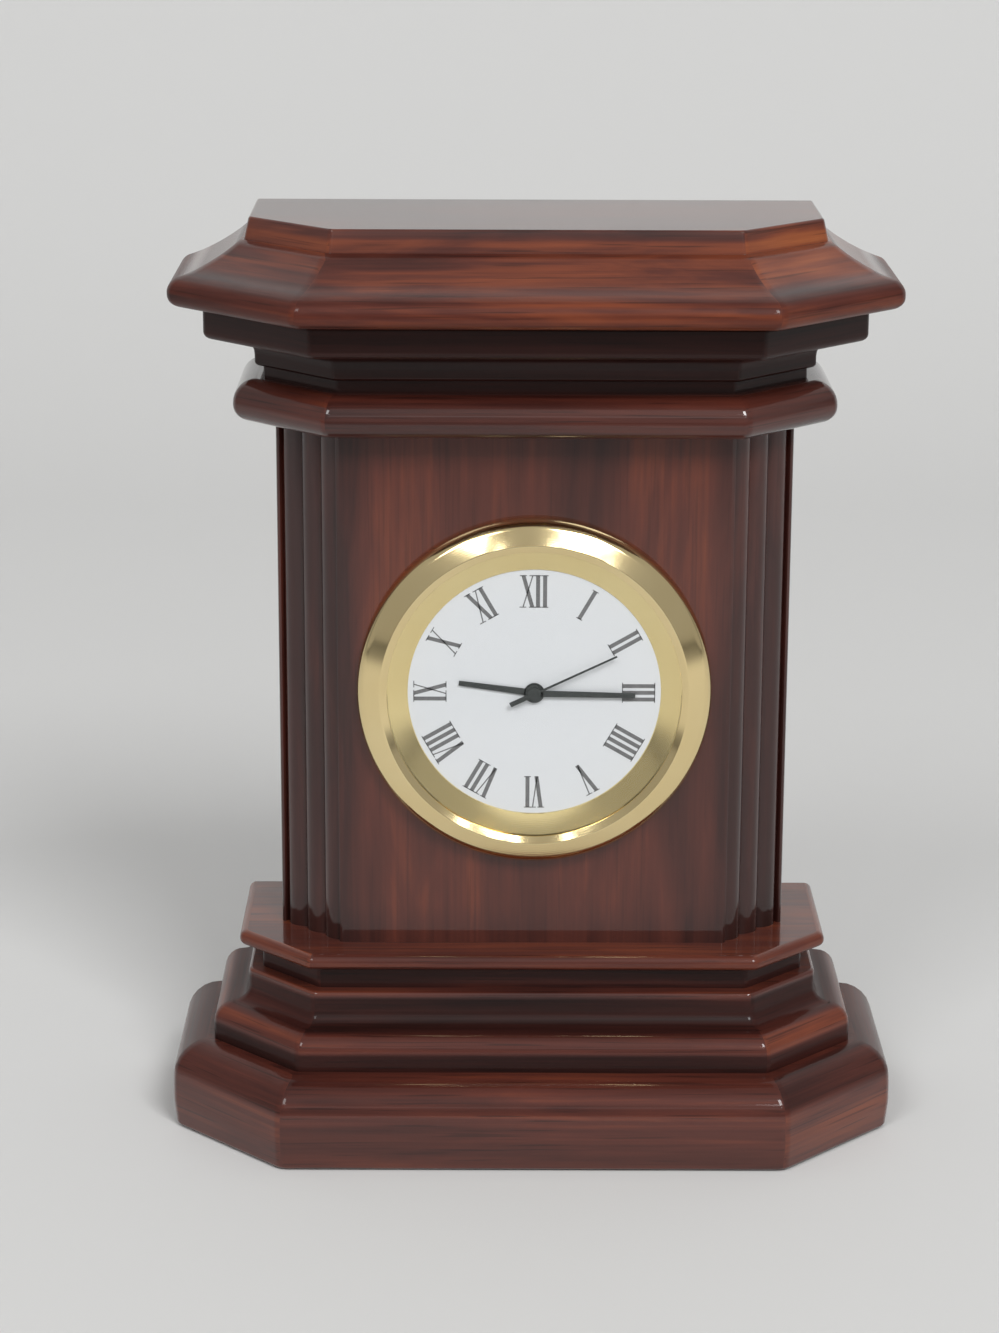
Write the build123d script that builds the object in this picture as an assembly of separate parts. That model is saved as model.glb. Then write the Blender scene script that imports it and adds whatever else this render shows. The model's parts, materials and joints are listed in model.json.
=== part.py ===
from build123d import *
import math
import os

# A wooden desk clock. +Z is up and the dial faces -Y. The origin is at the middle of its footprint.
# Heights are stacked from the floor. Overhangs are measured out from the faces of the shaft.

# Shaft: the upright block that holds the clock
shaft_width = 73.0
shaft_depth = 26.2
shaft_height = 74.8
shaft_clip = 9.0
reed_count = 3
reed_margin = 0.5
reed_sink = 0.9

# Felt pad under the plinth
felt_thickness = 1.2
felt_proud = 0.2
felt_margin = 4.0
felt_clearance = 0.15

# Plinth: the thick bottom board, a little fuller at mid height
plinth_height = 12.6
plinth_overhang = 15.8
plinth_foot_set = 0.4
plinth_shoulder_set = 0.3
plinth_foot_round = 0.6
plinth_bow_round = 9.0
plinth_shoulder_round = 5.0
plinth_bow_shares = (0.3, 0.5)

# Cove moulding: a rounded step with a hollow above it
cove_height = 10.2
cove_overhang = 9.85
cove_step = 5.4
cove_edge_round = 2.8
cove_hollow = 2.2
cove_crest_overhang = 4.8
cove_crest_round = 0.5

# Cap moulding: a thin shelf on a hollow neck
cap_height = 5.9
cap_overhang = 6.0
cap_shelf = 2.1
cap_neck_overhang = 2.8
cap_hollow = 1.4
cap_under_round = 0.7
cap_edge_round = 1.1

# The clipped corners of the base boards stand out further than their faces do
base_clip_proud = 1.4

# Bead: the half-round board on top of the shaft
bead_height = 5.9
bead_overhang = 5.9
bead_under_round = 2.2
bead_upper_round = 3.4

# Neck: a recess, a small fillet and a hollow up to the slab
neck_height = 6.0
neck_overhang = 1.6
neck_recess = 1.8
neck_fillet_overhang = 2.8
neck_fillet_round = 0.5
neck_hollow = 2.4
neck_flare_overhang = 6.2

# Slab: a plain board with soft edges
slab_height = 4.8
slab_overhang = 9.7
slab_round = 1.0

# Crown: a wide hollow over a round nose
crown_height = 8.8
crown_overhang = 14.5
crown_nose = 3.4
crown_under_round = 1.6
crown_nose_round = 2.0
crown_bend_overhang = 8.2
crown_bend_height = 5.6
crown_hollow = 22.0
crown_top_overhang = 4.4

# Top board, with faces that lean in a little
top_height = 3.1
top_overhang = 3.3
top_lean = 0.7
top_round = 0.4

# The clipped corners of the cornice boards stand out a little less than their faces
cornice_clip_set = 0.6

# Screws up through the base, and dowels down from the cornice
fastener_spread = 22.0
screw_length = 38.0
screw_head_radius = 3.5
screw_head_height = 1.9
screw_shank_radius = 1.75
screw_recess = 0.8
screw_slot_width = 0.9
screw_slot_depth = 1.0
dowel_radius = 3.0
dowel_depth = 10.0
dowel_rise = 5.5
dowel_chamfer = 0.6
fastener_clearance = 0.05

# Clock insert. The bore sets its radii. Depths are measured back from the front face of the shaft.
dial_rise = 37.9
bore_radius = 22.5
bezel_flange = 2.5
bezel_rim = 2.3
bezel_height = 3.8
ridge_width = 0.7
ridge_round = 0.3
rim_round = 2.0
lip_width = 0.3
lip_thickness = 0.25
lens_stand = 3.05
lens_thickness = 0.5
lens_set = 0.5
insert_clearance = 0.1
collar_clearance = 0.05
can_room = 1.0
can_wall = 0.6
can_overrun = 0.2
reflector_depth = 1.15
reflector_land = 0.4
reflector_shelf = 2.7
reflector_knee_depth = 1.0
reflector_slope = 0.1
dial_thickness = 0.4
dial_hole_radius = 1.4
ledge_width = 1.5
ledge_thickness = 0.8

# Grip ring: a rubber band with ribs that press on the bore
grip_front = 2.0
grip_rib_pitch = 2.2
grip_rib_count = 3
grip_band = 0.45
grip_clearance = 0.05
grip_rib_crest = 0.5

# Plates of the movement and the room between them
seat_thickness = 0.8
seat_rim = 1.2
motion_room = 2.4
plate_thickness = 0.8
train_room = 4.8
bridge_thickness = 0.8
pillar_radius = 1.6
pillar_inset = 4.2
pillar_angles = (97.0, 18.0, 231.0)
movement_screw_radius = 0.6
movement_screw_head_radius = 1.2
movement_screw_head = 0.5
movement_screw_bite = 0.6

# Wheels and arbors
wheel_thickness = 0.5
wheel_gap = 0.3
pivot_radius = 0.25
pivot_depth = 0.5
running_clearance = 0.05
seat_clearance = 0.02
addendum_share = 0.85
dedendum_share = 1.15
tooth_tip_share = 0.22
tooth_root_share = 0.52
motion_module = 0.25
third_module = 0.18
seconds_module = 0.16
rotor_module = 0.18
cannon_teeth = 12
minute_wheel_teeth = 36
minute_pinion_teeth = 10
hour_teeth = 40
setting_teeth = 12
seconds_pinion_teeth = 8
third_teeth = 60
third_pinion_teeth = 8
centre_teeth = 64
seconds_teeth = 60
intermediate_pinion_teeth = 12
intermediate_teeth = 48
rotor_teeth = 8
minute_wheel_angle = 210.0
setting_angle = 250.0
third_angle = 90.0
intermediate_angle = 330.0
rotor_angle = 290.0
rotor_magnet_radius = 1.5
rotor_magnet_length = 1.9

# Pipes and arbors at the centre, one inside the other
seconds_arbor_radius = 0.3
cannon_radius = 0.68
hour_pipe_radius = 1.15
cannon_shoulder_radius = 1.0

# Hands at rest, and their blades
rest_hours = 9
rest_minutes = 15
rest_seconds = 10.75
hand_thickness = 0.15
hand_gap = 0.17
hour_hand_margin = 7.1
hour_hand_width = 0.95
hour_hand_tip_width = 0.7
hour_hub_radius = 1.45
minute_hand_margin = 3.6
minute_hand_width = 0.95
minute_hand_tip_width = 0.7
minute_hub_radius = 1.25
seconds_hand_margin = 5.0
seconds_hand_width = 0.32
seconds_tail_length = 3.7
seconds_tail_width = 0.6
seconds_hub_radius = 0.95

# Motor: stator, coil and its core
stator_thickness = 0.6
stator_gap = 0.4
stator_bar_width = 5.2
stator_bar_drop = 8.0
stator_left = -4.6
stator_right = 12.2
stator_leg_width = 2.2
stator_post_radius = 0.8
core_width = 1.4
coil_inset = 7.6
core_overlap = 2.0
bobbin_radius = 2.3
bobbin_flange = 0.5
bobbin_sleeve_radius = 1.15
winding_radius = 2.0
bobbin_end_gap = 0.5

# Button cell and its contacts
cell_radius = 5.8
cell_thickness = 5.4
cell_cap_radius = 4.9
cell_cap_thickness = 0.6
cell_inset = 1.8
cell_angle = 157.7
cell_clearance = 0.3
contact_thickness = 0.3
contact_radius = 2.5
contact_tongue_width = 2.0
clip_width = 3.0
clip_reach = 7.6
clip_foot = 1.6

# Circuit board under the cell, with the crystal and the driver chip
board_width = 7.8
board_height = 6.2
board_thickness = 0.6
board_gap = 0.4
crystal_radius = 1.0
crystal_length = 6.0
crystal_drop = 4.6
chip_radius = 1.3
chip_thickness = 0.8
chip_drop = 1.6

# Rear cover and setting knob
cover_thickness = 1.4
cover_rim = 1.6
cover_recess = 0.5
cover_notch_radius = 2.2
knob_radius = 3.4
knob_thickness = 2.6
knob_gap = 0.4
knob_flute_count = 14
knob_flute_radius = 0.35
knob_hole_clearance = 0.4
knob_chamfer = 0.4
setting_arbor_radius = 0.8
knob_grip = 1.8

# Levels of the stack
plinth_z = felt_proud
cove_z = plinth_z + plinth_height
cap_z = cove_z + cove_height
shaft_z = cap_z + cap_height
bead_z = shaft_z + shaft_height
neck_z = bead_z + bead_height
slab_z = neck_z + neck_height
crown_z = slab_z + slab_height
top_z = crown_z + crown_height
felt_z = felt_thickness

# The faces of the shaft in plan
half_width = shaft_width / 2
back_y = (shaft_depth + plinth_overhang) / 2
front_y = back_y - shaft_depth
middle_y = (front_y + back_y) / 2
dial_z = shaft_z + dial_rise
diagonal_share = math.sqrt(0.5)
case_reach = shaft_width + shaft_depth + 2 * plinth_overhang

# Depths in the insert, from the lens back to the rear cover
lens_back = lens_thickness - lens_stand
dial_front = lens_back + reflector_depth
dial_back = dial_front + dial_thickness
seat_back = dial_back + seat_thickness
plate_front = seat_back + motion_room
plate_back = plate_front + plate_thickness
bridge_front = plate_back + train_room
bridge_back = bridge_front + bridge_thickness
ledge_back = bridge_back + ledge_thickness
cover_back = ledge_back + cover_thickness
can_back = cover_back + can_overrun

# Radii in the insert, from the bore in to the dial
bezel_radius = bore_radius + bezel_flange
can_radius = bore_radius - can_room
can_bore = can_radius - can_wall
plate_radius = can_bore - insert_clearance
lens_radius = can_radius - lens_set
ridge_radius = lens_radius + ridge_width
lip_radius = lens_radius - lip_width
reflector_front_radius = lens_radius - reflector_land
reflector_knee_radius = reflector_front_radius - reflector_shelf
reflector_back_radius = reflector_knee_radius - reflector_slope
hour_hand_length = reflector_back_radius - hour_hand_margin
minute_hand_length = reflector_back_radius - minute_hand_margin
seconds_hand_length = reflector_back_radius - seconds_hand_margin
pillar_offset = plate_radius - pillar_inset
cell_offset = plate_radius - cell_radius - cell_inset
coil_drop = plate_radius - coil_inset

# Depths of the front faces of the wheels, and of the hands
wheel_step = wheel_thickness + wheel_gap
hour_wheel_front = seat_back + wheel_gap
minute_wheel_front = hour_wheel_front + wheel_step
centre_wheel_front = plate_back + wheel_gap
third_wheel_front = centre_wheel_front + wheel_step
seconds_wheel_front = third_wheel_front + wheel_step
intermediate_wheel_front = seconds_wheel_front + wheel_step
hour_hand_front = dial_front - hand_gap - hand_thickness
minute_hand_front = hour_hand_front - hand_gap - hand_thickness
seconds_hand_front = minute_hand_front - hand_gap - hand_thickness

# Modules and centres that follow from the pairs that share them
motion_reach = motion_module * (cannon_teeth + minute_wheel_teeth) / 2
hour_module = 2 * motion_reach / (minute_pinion_teeth + hour_teeth)
setting_reach = motion_module * (setting_teeth + minute_wheel_teeth) / 2
third_reach = third_module * (seconds_pinion_teeth + third_teeth) / 2
centre_module = 2 * third_reach / (third_pinion_teeth + centre_teeth)
intermediate_reach = seconds_module * (intermediate_pinion_teeth + seconds_teeth) / 2
rotor_reach = rotor_module * (rotor_teeth + intermediate_teeth) / 2


def polar(reach, angle, start=(0, 0)):
    # A point seen from the front: X to the right, Y up, angles anticlockwise from X
    turn = math.radians(angle)
    return (start[0] + reach * math.cos(turn), start[1] + reach * math.sin(turn))


centre = (0, 0)
minute_wheel_at = polar(motion_reach, minute_wheel_angle)
setting_at = polar(setting_reach, setting_angle, minute_wheel_at)
third_at = polar(third_reach, third_angle)
intermediate_at = polar(intermediate_reach, intermediate_angle)
rotor_at = polar(rotor_reach, rotor_angle, intermediate_at)
cell_at = polar(cell_offset, cell_angle)
pillars_at = [polar(pillar_offset, angle) for angle in pillar_angles]

nodes = {}


# Helpers for the wooden case
def board(bottom, top, edge, rounds, clip_proud):
    # A moulded board: one edge run round the sides, clipped corners and front, flush at the back
    outline = [(-case_reach, bottom), *edge, (-case_reach, top)]
    section = make_face(FilletPolyline(outline, radius=[0, *rounds, 0], close=True))
    clip_distance = (half_width - shaft_clip - front_y) * diagonal_share + clip_proud
    faces = {-90: half_width, -45: clip_distance, 0: -front_y, 45: clip_distance, 90: half_width}
    solid = Pos(0, back_y - case_reach, 0) * Box(2 * case_reach, 2 * case_reach, 4 * case_reach)
    for angle, distance in faces.items():
        turn = math.radians(angle)
        outward = Vector(math.sin(turn), -math.cos(turn), 0)
        along = outward.cross(Vector(0, 0, 1))
        plane = Plane(origin=outward * distance, x_dir=outward, z_dir=along)
        solid = solid & extrude(plane * section, amount=case_reach, both=True)
    return solid


def upright(radius, bottom, top, x):
    # A round bar or hole standing in the case
    height = top - bottom
    return Pos(x, middle_y, (bottom + top) / 2) * Cylinder(radius, height)


def wood_screw(x, clearance):
    # A countersunk screw, or the hole for it when given a clearance
    head_z = felt_z + screw_recess
    neck_z_at = head_z + screw_head_height
    outline = Polyline(
        (0, head_z),
        (screw_head_radius + clearance, head_z),
        (screw_shank_radius + clearance, neck_z_at),
        (screw_shank_radius + clearance, head_z + screw_length + clearance),
        (0, head_z + screw_length + clearance),
        close=True,
    )
    profile = Plane.XZ * make_face(outline)
    return Pos(x, middle_y, 0) * revolve(profile, Axis.Z)


def dowel(x, clearance):
    bottom = bead_z - dowel_depth - clearance
    top = crown_z + dowel_rise + clearance
    return upright(dowel_radius + clearance, bottom, top, x)


fastener_places = (-fastener_spread, fastener_spread)


def screwed(solid):
    for x in fastener_places:
        solid = solid - wood_screw(x, fastener_clearance)
    return solid


def dowelled(solid):
    for x in fastener_places:
        solid = solid - dowel(x, fastener_clearance)
    return solid


# Helpers for the insert
dial_axis = Axis((0, front_y, dial_z), (0, 1, 0))
turning_plane = Plane(origin=(0, front_y, dial_z), x_dir=(1, 0, 0), z_dir=(0, 0, 1))


def turned(points, rounds):
    # A ring turned about the dial axis from points of (radius, depth)
    section = make_face(FilletPolyline(points, radius=rounds, close=True))
    return revolve(turning_plane * section, dial_axis)


def turned_sharp(*points):
    return turned(points, [0] * len(points))


def plate(sketch, front, back):
    # A flat piece drawn as seen from the front, between two depths
    plane = Plane(origin=(0, front_y + back, dial_z), x_dir=(1, 0, 0), z_dir=(0, -1, 0))
    return extrude(plane * sketch, amount=back - front)


def disc(radius, at=centre):
    return Pos(*at) * Circle(radius)


def rod(radius, front, back, at=centre):
    return plate(disc(radius, at), front, back)


def gear(teeth, module, phase, at):
    # Straight-flanked teeth; a tooth stands at the phase angle
    root = module * (teeth / 2 - dedendum_share)
    tip = module * (teeth / 2 + addendum_share)
    pitch = 360 / teeth
    corners = (
        (root, -tooth_root_share / 2),
        (tip, -tooth_tip_share / 2),
        (tip, tooth_tip_share / 2),
        (root, tooth_root_share / 2),
    )
    points = []
    for tooth in range(teeth):
        for radius, offset_share in corners:
            points.append(polar(radius, phase + (tooth + offset_share) * pitch, at))
    return make_face(Polyline(points, close=True))


def meshed(phase, teeth, mate_teeth, direction):
    # The phase that puts a mate's gap opposite a tooth, across a line of centres in that direction
    lead = phase - direction
    return direction + 180 - lead * teeth / mate_teeth - 180 / mate_teeth


# Wooden case
def base_plinth():
    bottom = plinth_z
    top = cove_z
    low_share, high_share = plinth_bow_shares
    edge = [
        (plinth_overhang - plinth_foot_set, bottom),
        (plinth_overhang, bottom + low_share * plinth_height),
        (plinth_overhang, bottom + high_share * plinth_height),
        (plinth_overhang - plinth_shoulder_set, top),
    ]
    rounds = [plinth_foot_round, plinth_bow_round, plinth_bow_round, plinth_shoulder_round]
    solid = board(bottom, top, edge, rounds, base_clip_proud)
    pocket = felt_pad(felt_clearance)
    recess_height = felt_z + screw_recess - plinth_z
    for x in fastener_places:
        pocket = pocket + upright(screw_head_radius + fastener_clearance, plinth_z, plinth_z + recess_height, x)
    return screwed(solid - pocket)


def felt_pad(clearance):
    edge_overhang = plinth_overhang - plinth_foot_set - felt_margin + clearance
    edge = [(edge_overhang, 0), (edge_overhang, felt_z)]
    pad = board(0, felt_z, edge, [0, 0], base_clip_proud)
    depth = shaft_depth + plinth_overhang
    room = Box(case_reach, depth - 2 * felt_margin + 2 * clearance, 2 * felt_z)
    return pad & room


def base_cove_moulding():
    step_z = cove_z + cove_step
    edge = [
        (cove_overhang, cove_z),
        (cove_overhang, step_z),
        (cove_crest_overhang, step_z),
        (cove_crest_overhang, cap_z),
    ]
    rounds = [0, cove_edge_round, cove_hollow, cove_crest_round]
    return screwed(board(cove_z, cap_z, edge, rounds, base_clip_proud))


def base_cap_moulding():
    shelf_z = shaft_z - cap_shelf
    edge = [
        (cap_neck_overhang, cap_z),
        (cap_neck_overhang, shelf_z),
        (cap_overhang, shelf_z),
        (cap_overhang, shaft_z),
    ]
    rounds = [0, cap_hollow, cap_under_round, cap_edge_round]
    return screwed(board(cap_z, shaft_z, edge, rounds, base_clip_proud))


def reeded_corner(side):
    # The clipped corner in plan: reeds with their crests on the clip, between two plain margins
    start = Vector(side * half_width, front_y + shaft_clip)
    end = Vector(side * (half_width - shaft_clip), front_y)
    along = (end - start).normalized()
    inward = Vector(-side * diagonal_share, diagonal_share)
    reed_width = ((end - start).length - 2 * reed_margin) / reed_count
    first = start + along * reed_margin
    edges = [Line(start, first), Line(first, first + inward * reed_sink)]
    for reed in range(reed_count):
        near = first + along * (reed * reed_width)
        far = near + along * reed_width
        crest = (near + far) * 0.5
        edges.append(ThreePointArc(near + inward * reed_sink, crest, far + inward * reed_sink))
    last = first + along * (reed_count * reed_width)
    edges.append(Line(last + inward * reed_sink, last))
    edges.append(Line(last, end))
    return edges


def shaft_block():
    right = (half_width, front_y + shaft_clip)
    left = (-half_width, front_y + shaft_clip)
    edges = reeded_corner(1) + reeded_corner(-1)
    edges.append(Line((half_width - shaft_clip, front_y), (shaft_clip - half_width, front_y)))
    edges.append(Polyline(right, (half_width, back_y), (-half_width, back_y), left))
    section = make_face([edge for curve in edges for edge in curve.edges()])
    solid = Pos(0, 0, shaft_z) * extrude(section, amount=shaft_height)
    return dowelled(screwed(solid - rod(bore_radius, -shaft_depth, 2 * shaft_depth)))


def cornice_bead():
    edge = [(bead_overhang, bead_z), (bead_overhang, neck_z)]
    return dowelled(board(bead_z, neck_z, edge, [bead_under_round, bead_upper_round], -cornice_clip_set))


def cornice_neck():
    fillet_z = neck_z + neck_recess
    edge = [
        (neck_overhang, neck_z),
        (neck_overhang, fillet_z),
        (neck_fillet_overhang, fillet_z),
        (neck_fillet_overhang, slab_z),
        (neck_flare_overhang, slab_z),
    ]
    rounds = [0, 0, neck_fillet_round, neck_hollow, 0]
    return dowelled(board(neck_z, slab_z, edge, rounds, -cornice_clip_set))


def cornice_slab():
    edge = [(slab_overhang, slab_z), (slab_overhang, crown_z)]
    return dowelled(board(slab_z, crown_z, edge, [slab_round, slab_round], -cornice_clip_set))


def crown_moulding():
    edge = [
        (crown_overhang, crown_z),
        (crown_overhang, crown_z + crown_nose),
        (crown_bend_overhang, crown_z + crown_bend_height),
        (crown_top_overhang, top_z),
    ]
    rounds = [crown_under_round, crown_nose_round, crown_hollow, 0]
    return dowelled(board(crown_z, top_z, edge, rounds, -cornice_clip_set))


def top_board():
    top = top_z + top_height
    edge = [(top_overhang + top_lean, top_z), (top_overhang, top)]
    return board(top_z, top, edge, [0, top_round], -cornice_clip_set)


def base_screws():
    head_z = felt_z + screw_recess
    group = []
    for x in fastener_places:
        slot = Pos(x, middle_y, head_z) * Box(2 * screw_head_radius, screw_slot_width, 2 * screw_slot_depth)
        group.append(wood_screw(x, 0) - slot)
    return Compound(children=group)


def cornice_dowels():
    group = []
    for x in fastener_places:
        peg = dowel(x, 0)
        group.append(chamfer(peg.edges().filter_by(GeomType.CIRCLE), dowel_chamfer))
    return Compound(children=group)


nodes["base_plinth"] = base_plinth()
nodes["felt_pad"] = felt_pad(0)
nodes["base_cove_moulding"] = base_cove_moulding()
nodes["base_cap_moulding"] = base_cap_moulding()
nodes["shaft_block"] = shaft_block()
nodes["cornice_bead"] = cornice_bead()
nodes["cornice_neck"] = cornice_neck()
nodes["cornice_slab"] = cornice_slab()
nodes["crown_moulding"] = crown_moulding()
nodes["top_board"] = top_board()
nodes["base_screws"] = base_screws()
nodes["cornice_dowels"] = cornice_dowels()


# Front of the insert: bezel, lens, reflector and dial
def bezel():
    pocket_radius = lens_radius + insert_clearance
    collar_radius = can_radius + collar_clearance
    points = [
        (collar_radius, 0),
        (bezel_radius, 0),
        (bezel_radius, -bezel_rim),
        (ridge_radius, -bezel_height),
        (lip_radius, -lens_stand - lip_thickness),
        (lip_radius, -lens_stand),
        (pocket_radius, -lens_stand),
        (pocket_radius, dial_back),
        (collar_radius, dial_back),
    ]
    return turned(points, [0, 0, rim_round, ridge_round, 0, 0, 0, 0, 0])


def reflector_ring():
    return turned_sharp(
        (reflector_front_radius, lens_back),
        (lens_radius, lens_back),
        (lens_radius, dial_front),
        (reflector_back_radius, dial_front),
        (reflector_knee_radius, lens_back + reflector_knee_depth),
    )


nodes["bezel"] = bezel()
nodes["lens"] = rod(lens_radius, -lens_stand, lens_back)
nodes["reflector_ring"] = reflector_ring()
nodes["dial"] = plate(disc(lens_radius) - disc(dial_hole_radius), dial_front, dial_back)


# Shell of the insert
def movement_can():
    ledge_radius = can_bore - ledge_width
    return turned_sharp(
        (can_bore, dial_back),
        (can_radius, dial_back),
        (can_radius, can_back),
        (can_bore, can_back),
        (can_bore, ledge_back),
        (ledge_radius, ledge_back),
        (ledge_radius, bridge_back),
        (can_bore, bridge_back),
    )


def grip_ring():
    crest_radius = bore_radius - grip_clearance
    band_radius = can_radius + grip_band
    points = [(can_radius, grip_front)]
    for rib in range(grip_rib_count):
        start = grip_front + rib * grip_rib_pitch
        middle = start + grip_rib_pitch / 2
        points.append((band_radius, start))
        points.append((crest_radius, middle - grip_rib_crest / 2))
        points.append((crest_radius, middle + grip_rib_crest / 2))
    grip_back = grip_front + grip_rib_count * grip_rib_pitch
    points.append((band_radius, grip_back))
    points.append((can_radius, grip_back))
    return turned_sharp(*points)


def rear_cover():
    hole = disc(knob_radius + knob_hole_clearance, setting_at)
    notch = disc(cover_notch_radius, (0, plate_radius))
    solid = plate(disc(plate_radius) - hole - notch, ledge_back, cover_back)
    hollow = plate(disc(plate_radius - cover_rim), cover_back - cover_recess, can_back)
    collar = plate(disc(knob_radius + knob_hole_clearance + cover_rim, setting_at) - hole, ledge_back, cover_back)
    return solid - hollow + collar


nodes["movement_can"] = movement_can()
nodes["grip_ring"] = grip_ring()
nodes["rear_cover"] = rear_cover()


# Plates of the movement
def dial_seat():
    holes = disc(hour_pipe_radius + running_clearance)
    holes = holes + disc(pivot_radius + running_clearance, minute_wheel_at)
    holes = holes + disc(setting_arbor_radius + running_clearance, setting_at)
    front = plate(disc(plate_radius) - holes, dial_back, seat_back)
    rim = plate(disc(plate_radius) - disc(plate_radius - seat_rim), seat_back, plate_front)
    return front + rim


train_pivots = (third_at, intermediate_at, rotor_at)
stator_front = centre_wheel_front + wheel_thickness + stator_gap
stator_back = stator_front + stator_thickness
leg_middles = (stator_left + stator_leg_width / 2, stator_right - stator_leg_width / 2)


def main_plate():
    holes = disc(cannon_radius + running_clearance)
    holes = holes + disc(setting_arbor_radius + running_clearance, setting_at)
    holes = holes + disc(pivot_radius + running_clearance, minute_wheel_at)
    for at in train_pivots:
        holes = holes + disc(pivot_radius + running_clearance, at)
    for at in pillars_at:
        holes = holes + disc(movement_screw_radius + seat_clearance, at)
    solid = plate(disc(plate_radius) - holes, plate_front, plate_back)
    for x in leg_middles:
        solid = solid + rod(stator_post_radius, plate_back, stator_front, (x, -coil_drop))
    return solid


def train_bridge():
    holes = disc(pivot_radius + running_clearance)
    for at in train_pivots:
        holes = holes + disc(pivot_radius + running_clearance, at)
    holes = holes + disc(setting_arbor_radius + running_clearance, setting_at)
    holes = holes + disc(cell_radius + cell_clearance, cell_at)
    solid = plate(disc(plate_radius) - holes, bridge_front, bridge_back)
    for at in pillars_at:
        solid = solid + rod(pillar_radius, plate_back, bridge_front, at)
        solid = solid - rod(movement_screw_radius + seat_clearance, plate_back, bridge_back, at)
    return solid


def movement_screws():
    group = []
    for at in pillars_at:
        shank = rod(movement_screw_radius, plate_back - movement_screw_bite, bridge_back, at)
        head = rod(movement_screw_head_radius, bridge_back, bridge_back + movement_screw_head, at)
        slot = Pos(*at) * Rectangle(2 * movement_screw_head_radius, movement_screw_radius / 2)
        slot_front = bridge_back + movement_screw_head / 2
        group.append(shank + head - plate(slot, slot_front, bridge_back + movement_screw_head))
    return Compound(children=group)


nodes["dial_seat"] = dial_seat()
nodes["main_plate"] = main_plate()
nodes["train_bridge"] = train_bridge()
nodes["movement_screws"] = movement_screws()

# Tooth phases: each mate takes its own from the wheel that it meets
minute_wheel_phase = meshed(minute_wheel_angle, cannon_teeth, minute_wheel_teeth, minute_wheel_angle)
hour_phase = meshed(minute_wheel_angle + 180, minute_pinion_teeth, hour_teeth, minute_wheel_angle + 180)
setting_phase = meshed(minute_wheel_phase, minute_wheel_teeth, setting_teeth, setting_angle)
third_phase = meshed(third_angle, seconds_pinion_teeth, third_teeth, third_angle)
centre_phase = meshed(third_angle + 180, third_pinion_teeth, centre_teeth, third_angle + 180)
intermediate_pinion_phase = meshed(intermediate_angle, seconds_teeth, intermediate_pinion_teeth, intermediate_angle)
rotor_phase = meshed(rotor_angle, intermediate_teeth, rotor_teeth, rotor_angle)


def wheel(teeth, module, phase, front, at):
    return plate(gear(teeth, module, phase, at), front, front + wheel_thickness)


def train_arbor(at):
    return rod(pivot_radius, plate_back - pivot_depth, bridge_front + pivot_depth, at)


# Motion work, between the dial seat and the main plate
def hour_wheel():
    toothed = wheel(hour_teeth, hour_module, hour_phase, hour_wheel_front, centre)
    pipe = rod(hour_pipe_radius, hour_hand_front, hour_wheel_front + wheel_thickness)
    bore = rod(cannon_radius + running_clearance, hour_hand_front, hour_wheel_front + wheel_thickness)
    return toothed + pipe - bore


def cannon_pinion():
    rear = centre_wheel_front + wheel_thickness
    toothed = wheel(cannon_teeth, motion_module, minute_wheel_angle, minute_wheel_front, centre)
    pipe = rod(cannon_radius, minute_hand_front, rear)
    shoulder = rod(cannon_shoulder_radius, minute_wheel_front + wheel_thickness, plate_front - running_clearance)
    bore = rod(seconds_arbor_radius + running_clearance, minute_hand_front, rear)
    return toothed + pipe + shoulder - bore


def minute_wheel():
    arbor = rod(pivot_radius, seat_back - pivot_depth, plate_front + pivot_depth, minute_wheel_at)
    pinion = wheel(minute_pinion_teeth, hour_module, minute_wheel_angle + 180, hour_wheel_front, minute_wheel_at)
    toothed = wheel(minute_wheel_teeth, motion_module, minute_wheel_phase, minute_wheel_front, minute_wheel_at)
    sleeve_radius = hour_module * (minute_pinion_teeth / 2 - dedendum_share)
    sleeve = rod(sleeve_radius, hour_wheel_front, minute_wheel_front, minute_wheel_at)
    return arbor + pinion + sleeve + toothed


def setting_arbor():
    knob_back = cover_back + knob_gap + knob_grip
    bar = rod(setting_arbor_radius, seat_back - pivot_depth, knob_back, setting_at)
    return bar + wheel(setting_teeth, motion_module, setting_phase, minute_wheel_front, setting_at)


def setting_knob():
    front = cover_back + knob_gap
    back = front + knob_thickness
    sketch = disc(knob_radius, setting_at)
    for flute in range(knob_flute_count):
        sketch = sketch - disc(knob_flute_radius, polar(knob_radius, flute * 360 / knob_flute_count, setting_at))
    socket = rod(setting_arbor_radius + seat_clearance, front, front + knob_grip, setting_at)
    crown = turned_cone(knob_radius, knob_chamfer, front, back)
    return (plate(sketch, front, back) & crown) - socket


def turned_cone(radius, bevel, front, back):
    # The knob's blank, with its rear edge bevelled
    section = Polyline(
        (0, front), (radius, front), (radius, back - bevel), (radius - bevel, back), (0, back), close=True
    )
    blank = revolve(turning_plane * make_face(section), dial_axis)
    return Pos(setting_at[0], 0, setting_at[1]) * blank


# Going train, between the main plate and the bridge
def centre_wheel():
    bore = rod(cannon_radius + running_clearance, centre_wheel_front, third_wheel_front)
    return wheel(centre_teeth, centre_module, centre_phase, centre_wheel_front, centre) - bore


def third_wheel():
    pinion = wheel(third_pinion_teeth, centre_module, third_angle + 180, centre_wheel_front, third_at)
    toothed = wheel(third_teeth, third_module, third_phase, third_wheel_front, third_at)
    sleeve_radius = centre_module * (third_pinion_teeth / 2 - dedendum_share)
    sleeve = rod(sleeve_radius, centre_wheel_front, third_wheel_front, third_at)
    return train_arbor(third_at) + pinion + sleeve + toothed


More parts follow.
